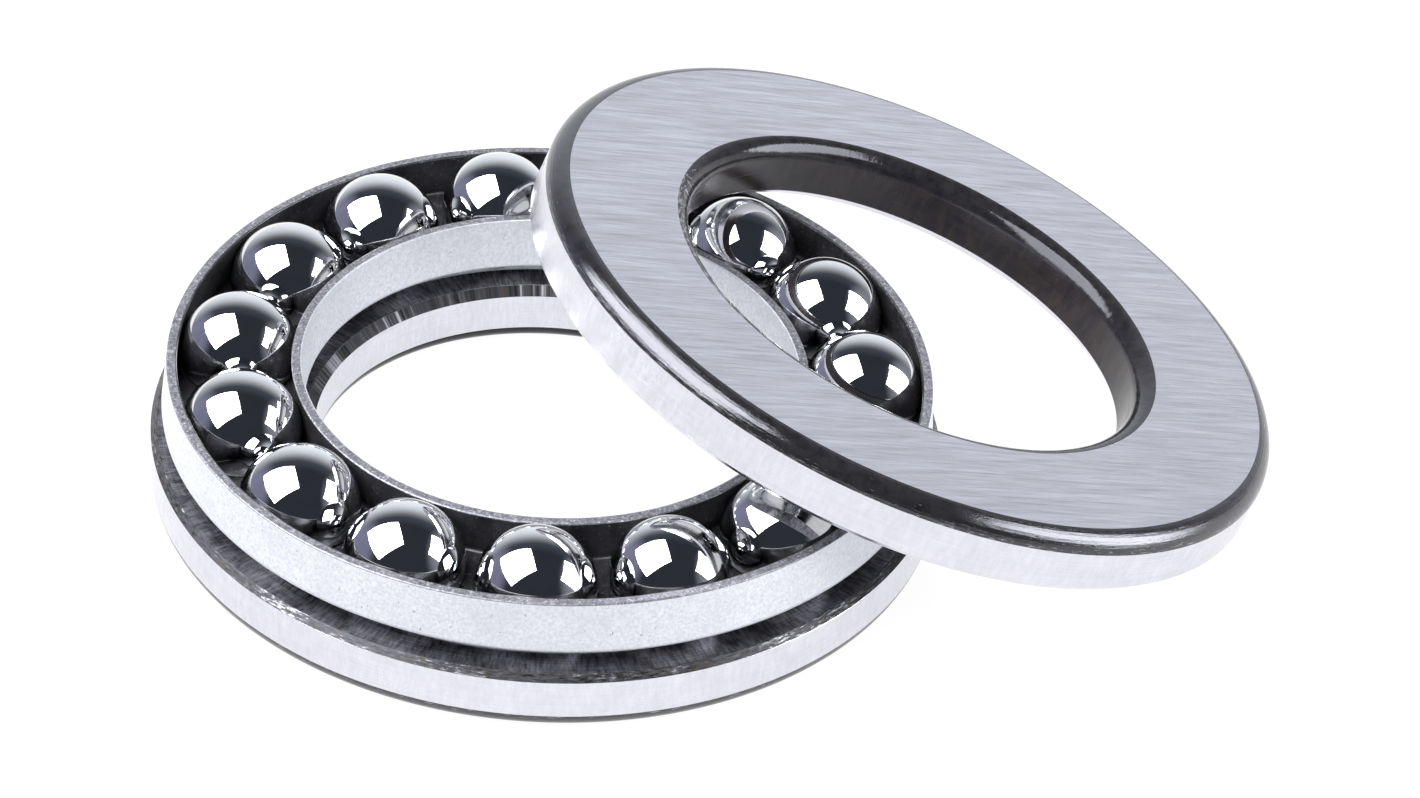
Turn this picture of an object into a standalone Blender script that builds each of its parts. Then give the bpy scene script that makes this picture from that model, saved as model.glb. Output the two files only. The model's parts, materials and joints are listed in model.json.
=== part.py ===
"""Single-direction thrust ball bearing, 40 x 68 x 19 mm, taken apart for inspection.

The shaft washer lies flat with the cage and its fifteen balls on it. The housing washer has
been lifted off and leans on the balls, with its far edge on the table.
Units are metres and +Z is up. The origin is under the middle of the whole arrangement.
"""
import bpy
import bmesh
from math import acos, cos, pi, radians, sin, tan

MM = 0.001

# Driving dimensions
OUTER_DIAMETER = 68.0 * MM
SHAFT_BORE = 40.0 * MM
HOUSING_BORE = 42.0 * MM
BEARING_HEIGHT = 19.0 * MM
BALL_DIAMETER = 10.32 * MM
BALL_COUNT = 15
BALL_PHASE = radians(15.0)

# Washers
WASHER_THICKNESS = 5.65 * MM
GROUND_EDGE_RADIUS = 1.6 * MM
GROUND_BORE_RADIUS = 1.5 * MM
RACE_EDGE_CHAMFER = 0.55 * MM
RACE_BORE_CHAMFER = 0.75 * MM
RACE_RADIUS = 5.7 * MM
RACE_GAP = 0.25 * MM

# Cage, a channel with two walls and a web that holds the balls apart
CAGE_HEIGHT = 4.95 * MM
CAGE_BASE = 7.33 * MM
CAGE_SHEET = 0.9 * MM
CAGE_OUTER_RADIUS = 33.12 * MM
CAGE_INNER_RADIUS = 20.82 * MM
CAGE_LEAN_IN = 0.42 * MM
CAGE_CORNER = 0.5 * MM
POCKET_GAP = 0.3 * MM

# Housing washer: where it leans, and where its path ends
LEAN_ANGLE = radians(19.5)
LEAN_OFFSET = 32.3 * MM
HOVER = 3.5 * MM

# Facets
TURN_STEPS = 60
EDGE_STEPS = 3
RACE_STEPS = 6
BALL_SUBDIVISIONS = 3
MERGE = 0.00001

# Derived places
OUTER_RADIUS = OUTER_DIAMETER / 2
BALL_RADIUS = BALL_DIAMETER / 2
PITCH_RADIUS = (OUTER_DIAMETER + SHAFT_BORE) / 4
BALL_HEIGHT = BEARING_HEIGHT / 2
RACE_DEPTH = WASHER_THICKNESS - (BALL_HEIGHT - BALL_RADIUS - RACE_GAP)
LEAN_HEIGHT = (WASHER_THICKNESS * cos(LEAN_ANGLE)
               + (OUTER_RADIUS - RACE_EDGE_CHAMFER) * sin(LEAN_ANGLE))
LEAN_REACH = (LEAN_OFFSET + (OUTER_RADIUS - GROUND_EDGE_RADIUS) * cos(LEAN_ANGLE)
              - GROUND_EDGE_RADIUS * sin(LEAN_ANGLE) + GROUND_EDGE_RADIUS)
BEARING_X = -(LEAN_REACH - OUTER_RADIUS) / 2


def clear_scene():
    for old in list(bpy.data.objects):
        bpy.data.objects.remove(old, do_unlink=True)


def steel(name, colour, roughness):
    material = bpy.data.materials.new(name)
    material.use_nodes = True
    shader = material.node_tree.nodes["Principled BSDF"]
    shader.inputs["Base Color"].default_value = (*colour, 1.0)
    shader.inputs["Metallic"].default_value = 1.0
    shader.inputs["Roughness"].default_value = roughness
    return material


def add_object(name, mesh, parent, location=(0, 0, 0), rotation=(0, 0, 0)):
    thing = bpy.data.objects.new(name, mesh)
    bpy.context.scene.collection.objects.link(thing)
    thing.parent = parent
    thing.location = location
    thing.rotation_euler = rotation
    return thing


def arc(centre, radius, start, end, steps):
    """Points of an arc in the turning plane, from one angle to another."""
    angles = [start + (end - start) * i / steps for i in range(steps + 1)]
    return [(centre[0] + radius * cos(a), centre[1] + radius * sin(a)) for a in angles]


def washer_profile(bore_radius):
    """A washer's section, ground face at z = 0 and race side up, down its outer side first."""
    top = WASHER_THICKNESS
    edge, bore_edge = GROUND_EDGE_RADIUS, GROUND_BORE_RADIUS
    race_half_angle = acos((RACE_RADIUS - RACE_DEPTH) / RACE_RADIUS)
    race_centre = (PITCH_RADIUS, top + RACE_RADIUS - RACE_DEPTH)
    points = [(OUTER_RADIUS - RACE_EDGE_CHAMFER, top), (OUTER_RADIUS, top - RACE_EDGE_CHAMFER)]
    points += arc((OUTER_RADIUS - edge, edge), edge, 0, -pi / 2, EDGE_STEPS)
    points += arc((bore_radius + bore_edge, bore_edge), bore_edge, -pi / 2, -pi, EDGE_STEPS)
    points += [(bore_radius, top - RACE_BORE_CHAMFER), (bore_radius + RACE_BORE_CHAMFER, top)]
    points += arc(race_centre, RACE_RADIUS, -pi / 2 - race_half_angle,
                  -pi / 2 + race_half_angle, RACE_STEPS)
    return points


def cage_profile():
    """The channel's section: outer wall, corner, web, corner, inner wall, then the inside."""
    base, top = CAGE_BASE, CAGE_BASE + CAGE_HEIGHT
    floor = base + CAGE_SHEET
    outer, inner = CAGE_OUTER_RADIUS, CAGE_INNER_RADIUS
    return [
        (outer - CAGE_LEAN_IN, top),
        (outer, base + CAGE_CORNER),
        (outer - CAGE_CORNER, base),
        (inner + CAGE_CORNER, base),
        (inner, base + CAGE_CORNER),
        (inner + CAGE_LEAN_IN, top),
        (inner + CAGE_LEAN_IN + CAGE_SHEET, top),
        (inner + CAGE_SHEET, floor),
        (outer - CAGE_SHEET, floor),
        (outer - CAGE_LEAN_IN - CAGE_SHEET, top),
    ]


def turned_mesh(name, profile, material):
    """A ring turned from a closed section about Z with the Screw modifier."""
    mesh = bpy.data.meshes.new(name)
    edges = [(i, (i + 1) % len(profile)) for i in range(len(profile))]
    mesh.from_pydata([(r, 0, z) for r, z in profile], edges, [])
    mesh.materials.append(material)
    return mesh


def turned_ring(name, profile, material, parent, location=(0, 0, 0), rotation=(0, 0, 0)):
    ring = add_object(name, turned_mesh(name, profile, material), parent, location, rotation)
    screw = ring.modifiers.new("turn", "SCREW")
    screw.steps = TURN_STEPS
    screw.render_steps = TURN_STEPS
    screw.use_merge_vertices = True
    screw.merge_threshold = MERGE
    screw.use_smooth_shade = True
    return ring


def ball_mesh(name, radius, material=None):
    mesh = bpy.data.meshes.new(name)
    shape = bmesh.new()
    bmesh.ops.create_icosphere(shape, subdivisions=BALL_SUBDIVISIONS, radius=radius)
    shape.to_mesh(mesh)
    shape.free()
    mesh.shade_smooth()
    if material:
        mesh.materials.append(material)
    return mesh


def ball_place(index):
    """Where a ball's centre is, and the angle of its outward spin axis."""
    angle = BALL_PHASE + 2 * pi * index / BALL_COUNT
    return (PITCH_RADIUS * cos(angle), PITCH_RADIUS * sin(angle), BALL_HEIGHT), angle


def add_balls(material, parent):
    mesh = ball_mesh("ball", BALL_RADIUS, material)
    for index in range(BALL_COUNT):
        place, angle = ball_place(index)
        add_object(f"ball_{index + 1:02d}", mesh, parent, place, (0, 0, angle))


def pocket_cutter(parent):
    """One hidden mesh with a sphere for each pocket."""
    shape = bmesh.new()
    for index in range(BALL_COUNT):
        place, _ = ball_place(index)
        made = bmesh.ops.create_icosphere(
            shape, subdivisions=BALL_SUBDIVISIONS, radius=BALL_RADIUS + POCKET_GAP)
        bmesh.ops.translate(shape, vec=place, verts=made["verts"])
    mesh = bpy.data.meshes.new("pocket_cutter")
    shape.to_mesh(mesh)
    shape.free()
    cutter = add_object("pocket_cutter", mesh, parent)
    cutter.hide_render = True
    cutter.display_type = "WIRE"
    return cutter


def add_cage(material, parent):
    cage = turned_ring("cage", cage_profile(), material, parent)
    pockets = cage.modifiers.new("pockets", "BOOLEAN")
    pockets.operation = "DIFFERENCE"
    pockets.solver = "EXACT"
    pockets.object = pocket_cutter(parent)
    return cage


def lift_pivot_place():
    """The pole that turns the leaning washer level and over the bearing in one rotation."""
    start_x, start_z = LEAN_OFFSET, LEAN_HEIGHT
    end_x, end_z = 0.0, BEARING_HEIGHT + HOVER
    step_x, step_z = end_x - start_x, end_z - start_z
    reach = 1 / (2 * tan(LEAN_ANGLE / 2))
    return ((start_x + end_x) / 2 - step_z * reach, 0.0, (start_z + end_z) / 2 + step_x * reach)


def add_housing_washer(material, bearing_axis):
    """Ground face up, race side down, on a parent empty at the hinge's axis."""
    pivot_x, _, pivot_z = lift_pivot_place()
    pivot = add_object("lift_pivot", None, bearing_axis, (pivot_x, 0, pivot_z))
    place = (LEAN_OFFSET - pivot_x, 0, LEAN_HEIGHT - pivot_z)
    turned_ring("housing_washer", washer_profile(HOUSING_BORE / 2), material, pivot,
                place, (pi, LEAN_ANGLE, 0))


def build():
    clear_scene()
    washer_steel = steel("washer_steel", (0.62, 0.63, 0.67), 0.28)
    cage_steel = steel("cage_steel", (0.45, 0.46, 0.50), 0.42)
    ball_steel = steel("ball_steel", (0.72, 0.73, 0.76), 0.05)
    bearing_axis = add_object("bearing_axis", None, None, (BEARING_X, 0, 0))
    turned_ring("shaft_washer", washer_profile(SHAFT_BORE / 2), washer_steel, bearing_axis)
    add_cage(cage_steel, bearing_axis)
    add_balls(ball_steel, bearing_axis)
    add_housing_washer(washer_steel, bearing_axis)


build()
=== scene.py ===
"""A thrust ball bearing taken apart on a pale table.

The shaft washer lies flat with the cage and its balls on it, and the housing washer leans on
them. The places, and the sizes that can be read from them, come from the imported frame.
The lengths written here are in millimetres and the angles in degrees.
"""
import json
from math import acos, atan2, cos, hypot, pi, radians, sin, tan

import bmesh
import bpy
from mathutils import Euler, Matrix, Vector


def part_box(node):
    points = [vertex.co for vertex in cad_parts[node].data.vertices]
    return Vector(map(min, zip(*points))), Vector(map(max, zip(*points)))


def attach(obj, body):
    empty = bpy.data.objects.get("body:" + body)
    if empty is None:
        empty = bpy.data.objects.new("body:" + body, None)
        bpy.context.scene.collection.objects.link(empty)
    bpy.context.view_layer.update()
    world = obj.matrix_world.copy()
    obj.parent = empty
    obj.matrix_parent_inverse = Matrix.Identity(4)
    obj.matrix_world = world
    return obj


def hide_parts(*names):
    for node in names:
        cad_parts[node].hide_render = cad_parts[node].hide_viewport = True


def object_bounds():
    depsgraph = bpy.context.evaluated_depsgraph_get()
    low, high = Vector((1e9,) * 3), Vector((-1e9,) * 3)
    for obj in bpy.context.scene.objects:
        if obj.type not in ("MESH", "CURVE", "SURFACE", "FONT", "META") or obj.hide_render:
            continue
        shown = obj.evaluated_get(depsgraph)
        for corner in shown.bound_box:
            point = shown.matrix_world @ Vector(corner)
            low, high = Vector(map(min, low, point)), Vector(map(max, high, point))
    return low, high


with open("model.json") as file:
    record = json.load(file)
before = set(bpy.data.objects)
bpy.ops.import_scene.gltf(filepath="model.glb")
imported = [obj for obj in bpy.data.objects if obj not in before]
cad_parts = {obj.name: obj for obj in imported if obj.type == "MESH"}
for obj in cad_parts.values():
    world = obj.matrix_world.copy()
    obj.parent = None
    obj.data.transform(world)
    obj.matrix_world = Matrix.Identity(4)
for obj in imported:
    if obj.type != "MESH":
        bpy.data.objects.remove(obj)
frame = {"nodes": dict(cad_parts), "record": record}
CAD_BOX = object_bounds()
MM = 0.001

# Washers
SHAFT_BORE = 40.0
HOUSING_BORE = 42.0
GROUND_EDGE = 1.6  # how far the unground edge reaches from the ground face's outer corner
GROUND_BORE_EDGE = 1.5
EDGE_FLATTEN = 1.1  # that edge's radius over its reach: above 1, it meets both faces at a faint corner
RACE_EDGE = 0.55  # the chamfers on the race side
RACE_BORE_EDGE = 0.75
RACE_RADIUS = 5.7
RACE_GAP = 0.25  # between a ball and the bottom of its groove

# Cage
CAGE_SHEET = 0.9
CAGE_LEAN = 0.42
CAGE_BORE_RADIUS = 20.82
CAGE_CORNER = 0.5
CAGE_RIM_ROUND = 0.14
CAGE_BEND = 0.32
POCKET_RADIUS = 5.21

# The washers' small corners, as grinding and turning leave them
CORNER_ROUND = 0.07
LAND_ROUND = 0.1

# Balls: how far each ball's mesh is turned from the one before, in radians
BALL_TURN = (1.7, 0.9, 2.3)
FIRST_TILT = 0.4

# Mesh density
TURN_STEPS = 300
EDGE_STEPS = 8
GROOVE_STEPS = 28
BALL_SUBDIVISIONS = 5
POCKET_SUBDIVISIONS = 5
SUPPORT = 0.05  # how far inside a stretch its extra loop lies, which keeps its shading flat
CREASE = 22.0  # the angle between two faces that makes their edge a sharp one
CUT_CREASE = 28.0  # the same on the cage, after its pockets are cut

OWN_PLACE = "own_place"  # the mesh attribute that keeps each point's place in the piece's own frame

# Dark skin: the cast of what it reflects, and for each unground edge its gloss, how far its lighter
# patches rise away from the ground face, and its painted sheen side, a painted reflection that
# lightens the edge along X (where along X that starts, where it is full, and how much it adds)
SKIN_TINT = (0.88, 0.89, 1.0, 1.0)
EDGE_SKIN = (0.95, 0.05, (22.0, 34.0, 0.09))
BORE_EDGE_SKIN = (0.32, -0.2, (-11.0, -20.0, 0.38))

# Table
FLOOR_GAP = 0.03
FLOOR_RADIUS = 6000.0
FLOOR_GLOW = 0.97

# Softboxes: name, place, turn about X, Y and Z, and size
SOFTBOX_RADIANCE = 11.0
SOFTBOXES = (
    ("softbox_left", (-368.0, 41.0, 615.0), (7.0, -46.2, -5.8), (737.0, 737.0)),
    ("softbox_right", (630.0, -142.0, 234.0), (48.7, 48.8, 4.6), (603.0, 487.0)),
)

# Room: where the white sweep is (azimuth, elevation), and its brightness against the cosine of the
# angle to it
SWEEP = (17.0, -5.0)
SWEEP_STOPS = ((0.20, 0.036), (0.50, 0.075), (0.60, 0.19), (0.70, 0.42), (0.80, 0.70), (0.90, 0.95),
               (0.985, 1.10))
DARK_BELOW = 0.1  # under this brightness the room is bluer
DARK_CAST = (0.90, 1.0, 1.3)
LIGHT_CAST = (0.96, 1.0, 1.07)
FILLS = (((-65.0, 8.0), (0.20, 0.20, 0.29)), ((105.0, 10.0), (0.26, 0.26, 0.30)))
FILL_EDGE = (0.72, 0.97)  # the cosines between which a fill fades in

# Camera
CAMERA_LENS = 142.33
CAMERA_DISTANCE = 481.3
CAMERA_AIM = (-1.617, -3.430, 9.5)
CAMERA_AZIMUTH = -16.726
CAMERA_ELEVATION = 36.683
CAMERA_ROLL = 4.705


# ---------------------------------------------------------------- outlines

def round_corner(before, corner, after, radius, steps):
    """The points of a fillet at a corner of an outline."""
    a, b = (before - corner).normalized(), (after - corner).normalized()
    half = acos(max(-1.0, min(1.0, a.dot(b)))) / 2
    reach = radius / tan(half)
    centre = corner + (a + b).normalized() * (radius / sin(half))
    start, end = corner + a * reach, corner + b * reach
    first = atan2(start.y - centre.y, start.x - centre.x)
    sweep = atan2(end.y - centre.y, end.x - centre.x) - first
    sweep = (sweep + pi) % (2 * pi) - pi
    return [
        centre + Vector((cos(first + sweep * i / steps), sin(first + sweep * i / steps))) * radius
        for i in range(steps + 1)
    ]


def outline(corners):
    """A closed outline of (radius, height, zone) points from (radius, height, fillet, zone) corners.

    A corner's zone is that of the stretch which leaves it.
    """
    points = []
    count = len(corners)
    for i, (radius, height, fillet, zone) in enumerate(corners):
        here = Vector((radius, height))
        before = Vector(corners[i - 1][:2])
        after = Vector(corners[(i + 1) % count][:2])
        if fillet > 0:
            turned = round_corner(before, here, after, fillet, 4 if fillet > 0.3 else 3)
            points += [(p.x, p.y, zone) for p in turned]
        else:
            points.append((radius, height, zone))
    return supported(points)


def supported(points):
    """The outline with an extra point near both ends of each long stretch."""
    made = []
    for i, (radius, height, zone) in enumerate(points):
        following = points[(i + 1) % len(points)]
        here, there = Vector((radius, height)), Vector(following[:2])
        length = (there - here).length
        made.append((radius, height, zone))
        if length > 6 * SUPPORT:
            for share in (SUPPORT / length, 1 - SUPPORT / length):
                p = here.lerp(there, share)
                made.append((p.x, p.y, zone))
    return made


def arc_corners(start, end, radius, steps, zone):
    """Sharp corners along a circle's arc from start to end, bulging to the left of that way."""
    start, end = Vector(start), Vector(end)
    chord = end - start
    middle = (start + end) / 2
    side = Vector((-chord.y, chord.x)).normalized()
    height = (radius**2 - (chord.length / 2) ** 2) ** 0.5
    centre = middle - side * height
    first = atan2(start.y - centre.y, start.x - centre.x)
    sweep = atan2(end.y - centre.y, end.x - centre.x) - first
    sweep = (sweep + pi) % (2 * pi) - pi
    return [
        (centre.x + radius * cos(first + sweep * i / steps),
         centre.y + radius * sin(first + sweep * i / steps), 0.0, zone)
        for i in range(steps + 1)
    ]


def washer_outline(outer, bore, thickness, race_depth, pitch):
    """A washer's section: ground face down at height 0, race side up."""
    edge = arc_corners((outer, GROUND_EDGE), (outer - GROUND_EDGE, 0), GROUND_EDGE * EDGE_FLATTEN,
                       EDGE_STEPS, "edge")
    bore_edge = arc_corners((bore + GROUND_BORE_EDGE, 0), (bore, GROUND_BORE_EDGE),
                            GROUND_BORE_EDGE * EDGE_FLATTEN, EDGE_STEPS, "bore_edge")
    half = (RACE_RADIUS**2 - (RACE_RADIUS - race_depth) ** 2) ** 0.5
    groove = arc_corners((pitch + half, thickness), (pitch - half, thickness), RACE_RADIUS,
                         GROOVE_STEPS, "race")[::-1]
    for stretch, following in ((edge, "face"), (bore_edge, "bore"), (groove, "land")):
        stretch[-1] = (*stretch[-1][:3], following)
    return outline(
        [(outer, thickness - RACE_EDGE, CORNER_ROUND, "outer")]
        + edge
        + bore_edge
        + [(bore, thickness - RACE_BORE_EDGE, CORNER_ROUND, "chamfer"),
           (bore + RACE_BORE_EDGE, thickness, LAND_ROUND, "land")]
        + groove
        + [(outer - RACE_EDGE, thickness, LAND_ROUND, "chamfer")]
    )


def cage_outline(outer, low, high):
    """The cage's section: a channel of sheet steel, open upward, with walls that lean together."""
    lean = CAGE_LEAN / (high - low)
    web = low + CAGE_SHEET
    inside = CAGE_BORE_RADIUS
    return outline([
        (outer, low, CAGE_CORNER, "wall"),
        (outer - CAGE_LEAN, high, CAGE_RIM_ROUND, "rim"),
        (outer - CAGE_LEAN - CAGE_SHEET, high, CAGE_RIM_ROUND, "channel"),
        (outer - lean * CAGE_SHEET - CAGE_SHEET, web, CAGE_BEND, "channel"),
        (inside + lean * CAGE_SHEET + CAGE_SHEET, web, CAGE_BEND, "channel"),
        (inside + CAGE_LEAN + CAGE_SHEET, high, CAGE_RIM_ROUND, "rim"),
        (inside + CAGE_LEAN, high, CAGE_RIM_ROUND, "wall"),
        (inside, low, CAGE_CORNER, "under"),
    ])


# ---------------------------------------------------------------- meshes

def turned(name, points, finishes):
    """A ring turned about its own Z axis from a closed outline.

    finishes maps a zone to its material.
    """
    mesh = bpy.data.meshes.new(name)
    zones = list(finishes)
    vertices, faces, indices = [], [], []
    count = len(points)
    for step in range(TURN_STEPS):
        angle = 2 * pi * step / TURN_STEPS
        for radius, height, _ in points:
            vertices.append((radius * cos(angle) * MM, radius * sin(angle) * MM, height * MM))
    for step in range(TURN_STEPS):
        following = (step + 1) % TURN_STEPS
        for i, (_, _, zone) in enumerate(points):
            j = (i + 1) % count
            faces.append((step * count + i, following * count + i,
                          following * count + j, step * count + j))
            indices.append(zones.index(zone))
    mesh.from_pydata(vertices, [], faces)
    for zone in zones:
        mesh.materials.append(finishes[zone])
    mesh.polygons.foreach_set("material_index", indices)
    mesh.polygons.foreach_set("use_smooth", [True] * len(faces))
    mesh.update()
    made = bpy.data.objects.new(name, mesh)
    bpy.context.scene.collection.objects.link(made)
    outward(made)
    return made


def outward(made):
    """Turns the faces outward, and marks the creases."""
    work = bmesh.new()
    work.from_mesh(made.data)
    bmesh.ops.recalc_face_normals(work, faces=work.faces)
    crease(work, CREASE)
    work.to_mesh(made.data)
    work.free()


def crease(work, angle):
    """Makes an edge sharp where its faces turn by this angle or more."""
    for edge in work.edges:
        edge.smooth = len(edge.link_faces) == 2 and edge.calc_face_angle(0) < radians(angle)


def sphere(name, radius, subdivisions, finish, turn):
    """A ball about its own origin, its mesh turned so that no two show the same marks."""
    work = bmesh.new()
    bmesh.ops.create_icosphere(work, subdivisions=subdivisions, radius=radius)
    bmesh.ops.transform(work, matrix=turn.to_matrix().to_4x4(), verts=work.verts)
    for face in work.faces:
        face.smooth = True
    mesh = bpy.data.meshes.new(name)
    work.to_mesh(mesh)
    work.free()
    mesh.materials.append(finish)
    made = bpy.data.objects.new(name, mesh)
    bpy.context.scene.collection.objects.link(made)
    return made


def pocket_cutter(cage, centres):
    """The balls' pockets, as one mesh of spheres in the channel's material, which holds painted shade.
    """
    work = bmesh.new()
    for centre in centres:
        bmesh.ops.create_icosphere(work, subdivisions=POCKET_SUBDIVISIONS,
                                   radius=POCKET_RADIUS * MM, matrix=Matrix.Translation(centre))
    mesh = bpy.data.meshes.new("pockets")
    work.to_mesh(mesh)
    work.free()
    for finish in cage.data.materials:
        mesh.materials.append(finish)
    channel = [finish.name for finish in cage.data.materials].index("cage_channel_painted_shade")
    mesh.polygons.foreach_set("material_index", [channel] * len(mesh.polygons))
    cutter = bpy.data.objects.new("pockets", mesh)
    bpy.context.scene.collection.objects.link(cutter)
    return cutter


def cut_pockets(cage, centres):
    """Cuts the ball pockets: holes through the web, and shallow seats in both walls."""
    cutter = pocket_cutter(cage, centres)
    cut = cage.modifiers.new("pockets", "BOOLEAN")
    cut.object, cut.operation, cut.solver = cutter, "DIFFERENCE", "EXACT"
    bpy.context.view_layer.update()
    graph = bpy.context.evaluated_depsgraph_get()
    baked = bpy.data.meshes.new_from_object(cage.evaluated_get(graph))
    cage.modifiers.clear()
    cage.data = baked
    bpy.data.objects.remove(cutter)
    work = bmesh.new()
    work.from_mesh(baked)
    bmesh.ops.dissolve_degenerate(work, edges=work.edges, dist=1e-7)
    for face in work.faces:
        face.smooth = True
    crease(work, CUT_CREASE)
    work.to_mesh(baked)
    work.free()


def settle(made, place):
    """Moves a mesh to its place in the row frame, and keeps its own coordinates for its material."""
    mesh = made.data
    own = mesh.attributes.new(OWN_PLACE, "FLOAT_VECTOR", "POINT")
    for point, vertex in zip(own.data, mesh.vertices):
        point.vector = vertex.co / MM
    mesh.transform(place)


# ---------------------------------------------------------------- materials

class Graph:
    """A node tree that is filled one node a line."""

    def __init__(self, owner):
        owner.use_nodes = True
        self.tree = owner.node_tree
        self.tree.nodes.clear()
        self.position = None

    def add(self, kind, inputs=None, **settings):
        node = self.tree.nodes.new(kind)
        for key, value in settings.items():
            setattr(node, key, value)
        for key, value in (inputs or {}).items():
            if isinstance(value, bpy.types.NodeSocket):
                self.tree.links.new(value, node.inputs[key])
            else:
                node.inputs[key].default_value = value
        return node

    def place(self):
        """The point in the piece's own frame, in millimetres."""
        if self.position is None:
            self.position = self.add("ShaderNodeAttribute",
                                     attribute_name=OWN_PLACE).outputs["Vector"]
        return self.position

    def stretched(self, scale, turn=0.0):
        """The point turned about Z, then scaled along each axis."""
        return self.add("ShaderNodeMapping", {
            "Vector": self.add("ShaderNodeVectorRotate", {
                "Vector": self.place(), "Angle": radians(turn)}, rotation_type="Z_AXIS").outputs[0],
            "Scale": scale}).outputs[0]

    def polar(self, along, across, up):
        """Coordinates that run round the axis, out from it and up it, for marks left by turning."""
        split = self.add("ShaderNodeSeparateXYZ", {0: self.place()})
        flat = self.add("ShaderNodeCombineXYZ", {0: split.outputs[0], 1: split.outputs[1]})
        out = self.add("ShaderNodeVectorMath", {0: flat.outputs[0]}, operation="LENGTH")
        unit = self.add("ShaderNodeVectorMath", {0: flat.outputs[0]}, operation="NORMALIZE")
        rim = self.add("ShaderNodeVectorMath", {0: unit.outputs[0], "Scale": along},
                       operation="SCALE")
        height = self.math("MULTIPLY_ADD", split.outputs[2], up,
                           self.math("MULTIPLY", out.outputs["Value"], across))
        lift = self.add("ShaderNodeCombineXYZ", {2: height})
        return self.add("ShaderNodeVectorMath", {0: rim.outputs[0], 1: lift.outputs[0]}).outputs[0]

    def noise(self, vector, scale, detail=3.0, roughness=0.55, distortion=0.0):
        """Noise around 0.5."""
        return self.add("ShaderNodeTexNoise", {
            "Vector": vector, "Scale": scale, "Detail": detail, "Roughness": roughness,
            "Distortion": distortion}).outputs["Fac"]

    def span(self, value, low, high, to_low, to_high, smooth=False):
        """value between low and high, carried over to to_low and to_high."""
        return self.add("ShaderNodeMapRange", {
            "Value": value, "From Min": low, "From Max": high, "To Min": to_low,
            "To Max": to_high}, interpolation_type="SMOOTHSTEP" if smooth else "LINEAR").outputs[0]

    def math(self, operation, *values):
        """One math node over sockets and plain numbers."""
        return self.add("ShaderNodeMath", dict(enumerate(values)), operation=operation).outputs[0]

    def mix(self, share, a, b):
        """A colour that goes from a to b as share goes from 0 to 1."""
        node = self.add("ShaderNodeMix", data_type="RGBA")
        for key, value in ((0, share), (6, a), (7, b)):
            if isinstance(value, bpy.types.NodeSocket):
                self.tree.links.new(value, node.inputs[key])
            else:
                node.inputs[key].default_value = value if key == 0 else (*value, 1.0)
        return node.outputs[2]

    def bump(self, height, depth, strength=1.0, normal=None):
        """Bump from a height between 0 and 1 that stands for depth millimetres."""
        inputs = {"Height": height, "Distance": depth * MM, "Strength": strength}
        if normal is not None:
            inputs["Normal"] = normal
        return self.add("ShaderNodeBump", inputs).outputs[0]

    def surface(self, **inputs):
        """The Principled shader. Underscores stand for the spaces in its sockets' names."""
        named = {key.replace("_", " "): value for key, value in inputs.items()}
        colour = named.get("Base Color")
        if isinstance(colour, tuple) and len(colour) == 3:
            named["Base Color"] = (*colour, 1.0)
        shader = self.add("ShaderNodeBsdfPrincipled", named)
        self.add("ShaderNodeOutputMaterial", {"Surface": shader.outputs[0]})


def material(name):
    """A new material and the graph that fills it."""
    made = bpy.data.materials.new(name)
    return made, Graph(made)


def ground_face():
    """Bright steel, surface ground: fine parallel lines with a few deeper scratches."""
    made, g = material("washer_ground_face")
    fine = g.noise(g.stretched((0.16, 5.0, 1.0), turn=11.0), 1.0, detail=5.0, roughness=0.7,
                   distortion=0.3)
    broad = g.noise(g.stretched((0.09, 1.5, 1.0), turn=14.0), 1.0, detail=4.0, distortion=0.6)
    crossing = g.noise(g.stretched((0.30, 3.6, 1.0), turn=-12.0), 1.0, detail=2.0)
    cloud = g.noise(g.place(), 0.12, detail=3.0)
    lines = g.math("ADD", g.math("MULTIPLY", fine, 0.6), g.math("MULTIPLY", broad, 0.4))
    scratch = g.span(crossing, 0.66, 0.72, 0.0, 1.0)
    tone = g.span(lines, 0.36, 0.64, 0.0, 1.0)
    colour = g.mix(tone, (0.46, 0.455, 0.50), (0.76, 0.755, 0.82))
    colour = g.mix(g.math("MULTIPLY", scratch, 0.45), colour, (0.88, 0.89, 0.92))
    rough = g.math("ADD", g.span(tone, 0.0, 1.0, 0.36, 0.27), g.span(cloud, 0.3, 0.7, -0.03, 0.04))
    normal = g.bump(lines, 0.04, 0.7)
    normal = g.bump(scratch, 0.012, 0.5, normal)
    g.surface(Base_Color=colour, Metallic=1.0, Roughness=rough, Normal=normal)
    return made


def ground_cylinder(name, tone=(0.79, 0.785, 0.86)):
    """Bright steel, cylindrically ground: fine lines round it, and soft streaks from wiping."""
    made, g = material(name)
    fine = g.noise(g.polar(3.0, 0.0, 14.0), 1.0, detail=4.0, roughness=0.65)
    wipe = g.noise(g.polar(14.0, 0.0, 0.5), 1.0, detail=4.0, roughness=0.6)
    brush = g.noise(g.polar(70.0, 0.0, 0.6), 1.0, detail=4.0, roughness=0.65)
    dark = tuple(0.80 * c for c in tone)
    shade = g.math("ADD", g.math("MULTIPLY", fine, 0.35), g.math("MULTIPLY", wipe, 0.30))
    shade = g.math("ADD", shade, g.math("MULTIPLY", brush, 0.35))
    colour = g.mix(g.span(shade, 0.35, 0.65, 0.0, 1.0), dark, tone)
    rough = g.span(wipe, 0.3, 0.7, 0.16, 0.30)
    g.surface(Base_Color=colour, Metallic=1.0, Roughness=rough, Normal=g.bump(fine, 0.006, 0.5))
    return made


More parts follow.
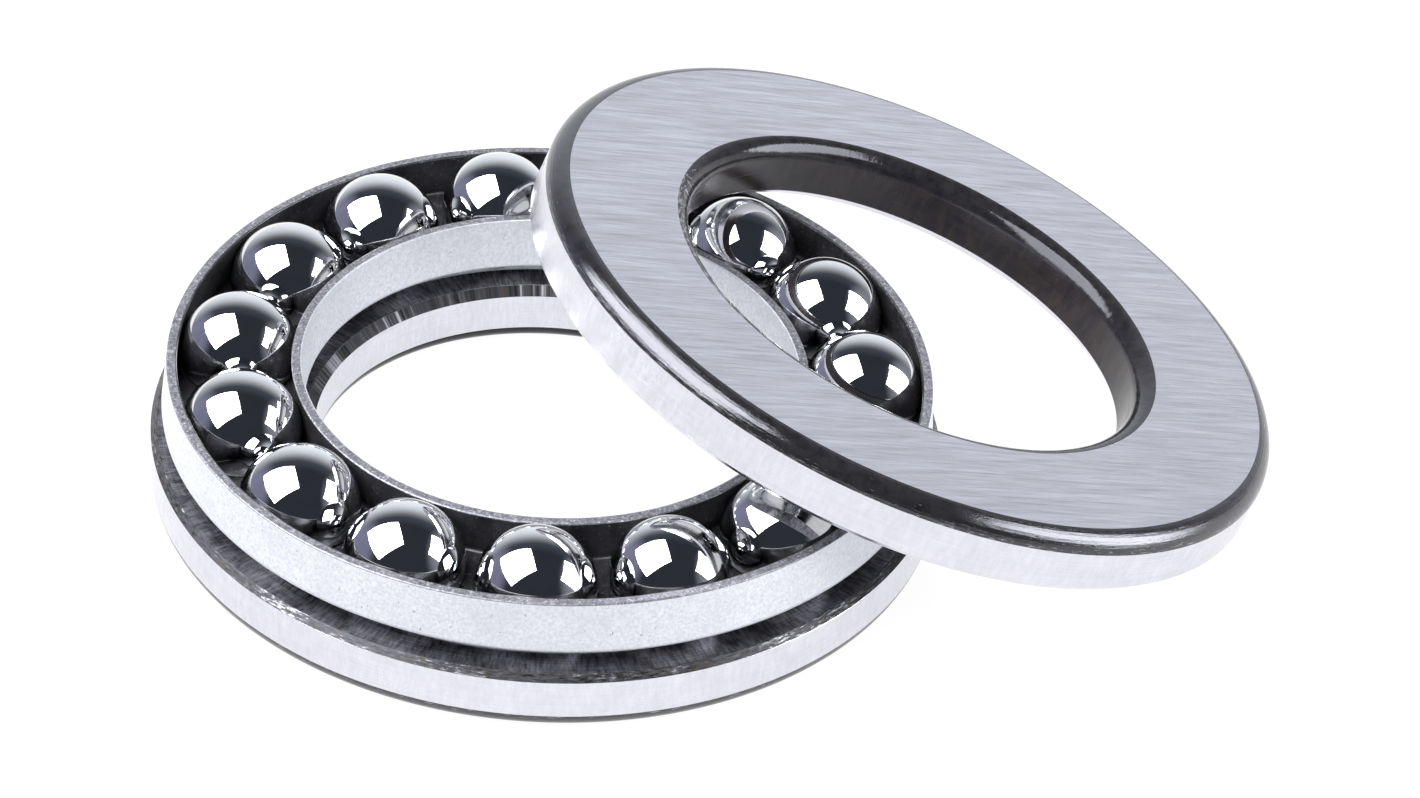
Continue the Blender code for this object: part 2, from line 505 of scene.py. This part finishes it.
def hardened_edge(name, gloss, outer_lift, painted_sheen_side):
    """The black skin left by hardening on the turned radii: glossy and pitted, with lighter, more
    metallic patches where random scuffs rub through it, and a painted sheen.

    outer_lift is how far those patches rise at most, away from the ground face. painted_sheen_side
    holds two places along X between which more is added, and how much: a painted reflection, lighter
    on the side where the edge shows the floor's light.
    """
    made, g = material(name)
    stain = g.noise(g.place(), 0.9, detail=5.0, roughness=0.65)
    turning = g.noise(g.polar(5.0, 9.0, 9.0), 1.0, detail=3.0)
    pits = g.noise(g.polar(26.0, 4.0, 4.0), 1.0, detail=4.0, roughness=0.7)
    scuffs = g.noise(g.polar(30.0, 6.0, 6.0), 1.0, detail=5.0, roughness=0.75)
    colour = g.mix(g.span(stain, 0.4, 0.7, 0.0, 1.0), (0.015, 0.014, 0.016), (0.006, 0.006, 0.007))
    at = g.add("ShaderNodeSeparateXYZ", {0: g.place()})
    outside = g.span(at.outputs[2], 0.6, 1.5, outer_lift - 0.11, outer_lift)
    start, end, amount = painted_sheen_side
    # Painted reflection: the patches grow toward given places along X, where the edge shows the
    # floor's light.
    lift_and_painted_sheen = g.math("ADD", outside, g.span(at.outputs[0], start, end, 0.0, amount))
    worn = g.math("ADD", g.math("MULTIPLY", scuffs, 0.75), g.math("MULTIPLY", stain, 0.25))
    # The lighter patches: random scuffs and stain, which are real wear, plus the rise away from the
    # ground face and the painted sheen.
    wear_and_sheen = g.span(g.math("ADD", worn, lift_and_painted_sheen), 0.58, 0.64, 0.0, 1.0)
    colour = g.mix(wear_and_sheen, colour, (0.32, 0.32, 0.35))
    rough = g.math("ADD", g.span(pits, 0.35, 0.65, 0.04, 0.10), g.math("MULTIPLY", wear_and_sheen, 0.12))
    normal = g.bump(pits, 0.035, 0.8)
    normal = g.bump(turning, 0.01, 0.3, normal)
    g.surface(Base_Color=colour, Metallic=g.span(wear_and_sheen, 0.0, 1.0, 0.0, 0.9), Roughness=rough,
              Specular_IOR_Level=gloss, Specular_Tint=SKIN_TINT, Normal=normal)
    return made


def dark_bore():
    """The housing washer's bore, not ground: smooth dark skin with a brown cast."""
    made, g = material("washer_dark_bore")
    turning = g.noise(g.polar(2.5, 0.0, 7.0), 1.0, detail=3.0)
    cast = g.noise(g.polar(26.0, 0.0, 0.4), 1.0, detail=3.0)
    colour = g.mix(g.span(cast, 0.35, 0.65, 0.0, 1.0), (0.008, 0.007, 0.008), (0.018, 0.014, 0.012))
    rough = g.span(turning, 0.3, 0.7, 0.16, 0.28)
    g.surface(Base_Color=colour, Metallic=0.0, Roughness=rough, Specular_IOR_Level=0.45,
              Specular_Tint=SKIN_TINT, Normal=g.bump(turning, 0.008, 0.5))
    return made


def race_land():
    """The turned land beside the groove: dark grey, with a fine hatch across it."""
    made, g = material("washer_race_land")
    fine = g.noise(g.polar(4.0, 9.0, 9.0), 1.0, detail=4.0, roughness=0.7)
    cross = g.noise(g.polar(110.0, 0.8, 0.8), 1.0, detail=4.0, roughness=0.7)
    stain = g.noise(g.place(), 0.5, detail=4.0)
    tone = g.math("ADD", g.math("MULTIPLY", fine, 0.35), g.math("MULTIPLY", cross, 0.65))
    colour = g.mix(g.span(tone, 0.38, 0.62, 0.0, 1.0), (0.05, 0.05, 0.058), (0.34, 0.34, 0.38))
    colour = g.mix(g.span(stain, 0.50, 0.70, 0.0, 0.6), colour, (0.05, 0.048, 0.05))
    rough = g.span(tone, 0.3, 0.7, 0.28, 0.46)
    g.surface(Base_Color=colour, Metallic=0.9, Roughness=rough, Specular_Tint=SKIN_TINT,
              Normal=g.bump(tone, 0.02, 0.7))
    return made


def race_chamfer():
    """The chamfer on the race side: black skin with a few brown spots and bare scratches."""
    made, g = material("washer_race_chamfer")
    stain = g.noise(g.place(), 1.1, detail=5.0, roughness=0.7)
    specks = g.noise(g.polar(38.0, 4.0, -4.0), 1.0, detail=5.0, roughness=0.75)
    patch = g.noise(g.polar(3.0, 0.0, 0.0), 1.0, detail=3.0)
    colour = g.mix(g.span(specks, 0.4, 0.6, 0.0, 1.0), (0.008, 0.008, 0.009), (0.055, 0.055, 0.060))
    colour = g.mix(g.span(stain, 0.58, 0.64, 0.0, 0.9), colour, (0.045, 0.034, 0.020))
    worn = g.math("ADD", g.math("MULTIPLY", specks, 0.65), g.math("MULTIPLY", patch, 0.35))
    bare = g.span(worn, 0.55, 0.62, 0.0, 1.0)
    colour = g.mix(bare, colour, (0.36, 0.36, 0.39))
    g.surface(Base_Color=colour, Metallic=g.span(bare, 0.0, 1.0, 0.1, 0.9),
              Roughness=g.span(specks, 0.3, 0.7, 0.22, 0.42), Specular_IOR_Level=0.35,
              Specular_Tint=SKIN_TINT, Normal=g.bump(specks, 0.04, 0.8))
    return made


def raceway():
    """The groove: lapped almost to a mirror, with a dull track where the balls have run."""
    made, g = material("washer_raceway")
    fine = g.noise(g.polar(2.0, 16.0, 16.0), 1.0, detail=3.0)
    track = g.noise(g.polar(1.0, 1.1, 1.1), 1.0, detail=2.0)
    colour = g.mix(g.span(fine, 0.3, 0.7, 0.0, 1.0), (0.60, 0.61, 0.63), (0.72, 0.73, 0.75))
    rough = g.math("ADD", g.span(fine, 0.3, 0.7, 0.08, 0.14), g.span(track, 0.45, 0.6, 0.0, 0.08))
    g.surface(Base_Color=colour, Metallic=1.0, Roughness=rough, Normal=g.bump(fine, 0.003, 0.4))
    return made


def cage_wall():
    """Pressed sheet steel, tumbled: light and matt, with fine dark and bright specks."""
    made, g = material("cage_wall")
    grain = g.noise(g.place(), 3.4, detail=4.0, roughness=0.75)
    specks = g.noise(g.place(), 2.2, detail=3.0, roughness=0.6)
    cloud = g.noise(g.place(), 0.25, detail=3.0)
    colour = g.mix(g.span(grain, 0.35, 0.65, 0.0, 1.0), (0.61, 0.625, 0.68), (0.83, 0.845, 0.91))
    colour = g.mix(g.span(cloud, 0.4, 0.7, 0.0, 0.3), colour, (0.58, 0.59, 0.64))
    colour = g.mix(g.span(specks, 0.68, 0.74, 0.0, 0.8), colour, (0.20, 0.19, 0.19))
    rough = g.span(grain, 0.3, 0.7, 0.42, 0.56)
    g.surface(Base_Color=colour, Metallic=0.9, Roughness=rough, Normal=g.bump(grain, 0.02, 0.5))
    return made


def cage_rim():
    """The sheared edge of the sheet: mid-grey, torn and rough, with bright specks."""
    made, g = material("cage_rim")
    torn = g.noise(g.polar(70.0, 3.0, 3.0), 1.0, detail=4.0, roughness=0.7)
    grain = g.noise(g.place(), 5.0, detail=3.0, roughness=0.7)
    tone = g.math("ADD", g.math("MULTIPLY", torn, 0.5), g.math("MULTIPLY", grain, 0.5))
    colour = g.mix(g.span(tone, 0.35, 0.62, 0.0, 1.0), (0.09, 0.09, 0.105), (0.33, 0.33, 0.37))
    colour = g.mix(g.span(grain, 0.58, 0.66, 0.0, 0.8), colour, (0.66, 0.66, 0.70))
    g.surface(Base_Color=colour, Metallic=0.8, Roughness=g.span(tone, 0.3, 0.7, 0.34, 0.55),
              Normal=g.bump(tone, 0.05, 0.7))
    return made


def cage_channel_painted_shade():
    """The inside of the channel: the same sheet, in painted shade: a dark base colour stands for the
    shade inside the channel and between the balls, with a few lighter specks of grain.
    """
    made, g = material("cage_channel_painted_shade")
    grain = g.noise(g.place(), 3.0, detail=3.0, roughness=0.6)
    cloud = g.noise(g.place(), 0.35, detail=4.0)
    # Painted shade: the dark base colour stands for the shade inside the channel.
    colour = g.mix(g.span(cloud, 0.35, 0.7, 0.0, 1.0), (0.025, 0.025, 0.03), (0.07, 0.07, 0.08))
    colour = g.mix(g.span(grain, 0.62, 0.70, 0.0, 0.5), colour, (0.25, 0.25, 0.26))
    g.surface(Base_Color=colour, Metallic=0.6, Roughness=g.span(grain, 0.3, 0.7, 0.26, 0.42),
              Normal=g.bump(grain, 0.02, 0.5))
    return made


def ball_chrome():
    """Lapped bearing steel: a mirror, with faint smears of oil and hairline scratches."""
    made, g = material("ball_chrome")
    smear = g.noise(g.stretched((0.35, 0.9, 0.35)), 1.0, detail=3.0, roughness=0.6)
    hair = g.noise(g.stretched((0.5, 12.0, 0.5), turn=30.0), 1.0, detail=2.0)
    colour = g.mix(g.span(smear, 0.35, 0.7, 0.0, 1.0), (0.78, 0.78, 0.79), (0.70, 0.705, 0.72))
    rough = g.math("ADD", g.span(smear, 0.5, 0.75, 0.02, 0.07),
                   g.span(hair, 0.66, 0.74, 0.0, 0.05))
    g.surface(Base_Color=colour, Metallic=1.0, Roughness=rough)
    return made


def floor_paper():
    """The pale table, lit from within so that it shows almost no shadow."""
    made, g = material("floor_paper")
    grain = g.noise(g.place(), 0.02, detail=2.0)
    colour = g.mix(grain, (0.06, 0.06, 0.06), (0.07, 0.07, 0.07))
    g.surface(Base_Color=colour, Roughness=1.0, Specular_IOR_Level=0.0,
              Emission_Color=(1.0, 1.0, 1.0, 1.0), Emission_Strength=FLOOR_GLOW)
    return made


# ---------------------------------------------------------------- pieces

def box_size(node):
    """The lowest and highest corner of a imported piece, in millimetres."""
    low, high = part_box(node)
    return low / MM, high / MM


def ball_places():
    """Each ball's node with its centre, in metres."""
    nodes = sorted(node for node in frame["nodes"] if node.startswith("ball_"))
    return [(node, sum(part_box(node), Vector()) / 2) for node in nodes]


def replace_with(made, node, body):
    """Lets the made piece stand for a packed one and move with its body."""
    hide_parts(node)
    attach(made, body)


def leaning_place():
    """Where the housing washer leans, from its ground face's mount."""
    mounts = {mount["name"]: mount for mount in frame["record"]["mounts"]}
    shoulder = mounts["housing_shoulder_face"]
    lean = atan2(shoulder["axis"][0], shoulder["axis"][2])
    seat = Vector((shoulder["pos_m"][0], 0, shoulder["pos_m"][2]))
    return Matrix.Translation(seat) @ Euler((pi, lean, 0)).to_matrix().to_4x4()


def add_washers(axis_x, outer, thickness, race_depth, pitch):
    """The shaft washer flat on the table, and the housing washer where it leans."""
    outer_steel = ground_cylinder("washer_ground_outer")
    shaft = {
        "outer": outer_steel,
        "edge": hardened_edge("washer_edge", *EDGE_SKIN),
        "bore_edge": hardened_edge("washer_bore_edge", *BORE_EDGE_SKIN),
        "face": ground_face(),
        "bore": ground_cylinder("washer_ground_bore", (0.77, 0.77, 0.84)),
        "chamfer": race_chamfer(),
        "land": race_land(),
        "race": raceway(),
    }
    housing = dict(shaft, bore=dark_bore(), chamfer=outer_steel)
    flat_place = Matrix.Translation((axis_x * MM, 0, 0))
    for node, body, bore, finishes, place in (
        ("shaft_washer", "base", SHAFT_BORE, shaft, flat_place),
        ("housing_washer", "housing_washer", HOUSING_BORE, housing, leaning_place()),
    ):
        section = washer_outline(outer, bore / 2, thickness, race_depth, pitch)
        piece = turned(node + "_detail", section, finishes)
        settle(piece, place)
        replace_with(piece, node, body)


def add_cage(axis_x, ball_centres):
    """The cage, made at the origin and moved to the bearing's axis."""
    low, high = box_size("cage")
    # channel is the inside of the channel, in painted shade
    wall, rim, channel = cage_wall(), cage_rim(), cage_channel_painted_shade()
    finishes = {"wall": wall, "rim": rim, "channel": channel, "under": wall}
    cage = turned("cage_detail", cage_outline((high.x - low.x) / 2, low.z, high.z), finishes)
    axis = Vector((axis_x * MM, 0, 0))
    cut_pockets(cage, [centre - axis for centre in ball_centres])
    settle(cage, Matrix.Translation(axis))
    replace_with(cage, "cage", "cage")


def add_balls(places, radius):
    chrome = ball_chrome()
    for index, (node, centre) in enumerate(places):
        x, y, z = (index * step for step in BALL_TURN)
        turn = Euler((x, y + FIRST_TILT, z))
        piece = sphere(node + "_detail", radius * MM, BALL_SUBDIVISIONS, chrome, turn)
        settle(piece, Matrix.Translation(centre))
        replace_with(piece, node, node)


def build():
    """All the pieces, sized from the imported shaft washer, cage and balls."""
    low, high = box_size("shaft_washer")
    axis_x, outer, thickness = (low.x + high.x) / 2, (high.x - low.x) / 2, high.z - low.z
    balls = ball_places()
    first, centre = balls[0]
    ball_low, ball_high = box_size(first)
    ball_radius = (ball_high.z - ball_low.z) / 2
    pitch = hypot(centre.x / MM - axis_x, centre.y / MM)
    race_depth = thickness - (ball_low.z - RACE_GAP)

    add_washers(axis_x, outer, thickness, race_depth, pitch)
    add_cage(axis_x, [centre for _, centre in balls])
    add_balls(balls, ball_radius)


# ---------------------------------------------------------------- studio

def add_floor():
    """A round table top just under the part."""
    work = bmesh.new()
    bmesh.ops.create_circle(work, cap_ends=True, segments=64, radius=FLOOR_RADIUS * MM)
    mesh = bpy.data.meshes.new("floor")
    work.to_mesh(mesh)
    work.free()
    mesh.materials.append(floor_paper())
    floor = bpy.data.objects.new("floor", mesh)
    settle(floor, Matrix.Translation((0, 0, CAD_BOX[0].z - FLOOR_GAP * MM)))
    bpy.context.scene.collection.objects.link(floor)


def add_softbox(name, at, turn, size):
    """A rectangular softbox that the camera doesn't see."""
    light = bpy.data.lights.new(name, "AREA")
    light.shape = "RECTANGLE"
    light.size, light.size_y = size[0] * MM, size[1] * MM
    light.energy = SOFTBOX_RADIANCE * pi * light.size * light.size_y
    made = bpy.data.objects.new(name, light)
    made.location = Vector(at) * MM
    made.rotation_euler = [radians(a) for a in turn]
    made.visible_camera = False
    bpy.context.scene.collection.objects.link(made)


def direction(azimuth, elevation):
    """The unit vector at an azimuth, clockwise from +Y, and an elevation."""
    a, e = radians(azimuth), radians(elevation)
    return (sin(a) * cos(e), cos(a) * cos(e), sin(e))


def add_world():
    """A dim room with a white sweep behind the table and two soft fills, and white to the camera."""
    world = bpy.data.worlds.new("studio")
    bpy.context.scene.world = world
    g = Graph(world)
    ray = g.add("ShaderNodeVectorMath", {0: g.add("ShaderNodeTexCoord").outputs["Generated"]},
                operation="NORMALIZE").outputs[0]

    def towards(azimuth, elevation):
        return g.add("ShaderNodeVectorMath", {0: ray, 1: direction(azimuth, elevation)},
                     operation="DOT_PRODUCT").outputs["Value"]

    sweep = g.add("ShaderNodeValToRGB", {"Fac": towards(*SWEEP)})
    ramp = sweep.color_ramp
    while len(ramp.elements) < len(SWEEP_STOPS):
        ramp.elements.new(0.5)
    for element, (position, value) in zip(ramp.elements, SWEEP_STOPS):
        cast = DARK_CAST if value < DARK_BELOW else LIGHT_CAST
        element.position = position
        element.color = (*(value * part for part in cast), 1.0)
    colour = sweep.outputs["Color"]
    for place, tint in FILLS:
        share = g.span(towards(*place), *FILL_EDGE, 0.0, 1.0, smooth=True)
        tinted = g.mix(share, (0.0, 0.0, 0.0), tint)
        colour = g.add("ShaderNodeVectorMath", {0: colour, 1: tinted}, operation="ADD").outputs[0]
    room = g.add("ShaderNodeBackground", {"Color": colour, "Strength": 1.0})
    white = g.add("ShaderNodeBackground", {"Color": (1.0, 1.0, 1.0, 1.0), "Strength": 1.0})
    seen = g.add("ShaderNodeLightPath").outputs["Is Camera Ray"]
    both = g.add("ShaderNodeMixShader", {0: seen, 1: room.outputs[0], 2: white.outputs[0]})
    g.add("ShaderNodeOutputWorld", {"Surface": both.outputs[0]})


def add_camera():
    """The camera, on a line back from its aim and rolled about that line."""
    camera = bpy.data.cameras.new("camera")
    camera.lens = CAMERA_LENS
    made = bpy.data.objects.new("camera", camera)
    back = Vector(direction(180 - CAMERA_AZIMUTH, CAMERA_ELEVATION))
    made.location = (Vector(CAMERA_AIM) + back * CAMERA_DISTANCE) * MM
    looking = (-back).to_track_quat("-Z", "Y").to_matrix()
    made.rotation_euler = (looking @ Matrix.Rotation(radians(CAMERA_ROLL), 3, "Z")).to_euler()
    camera.clip_start, camera.clip_end = 0.01, 50.0
    bpy.context.scene.collection.objects.link(made)
    bpy.context.scene.camera = made


def add_studio():
    add_floor()
    add_world()
    for name, at, turn, size in SOFTBOXES:
        add_softbox(name, at, turn, size)
    add_camera()
    bpy.context.scene.view_settings.view_transform = "Standard"


build()
add_studio()
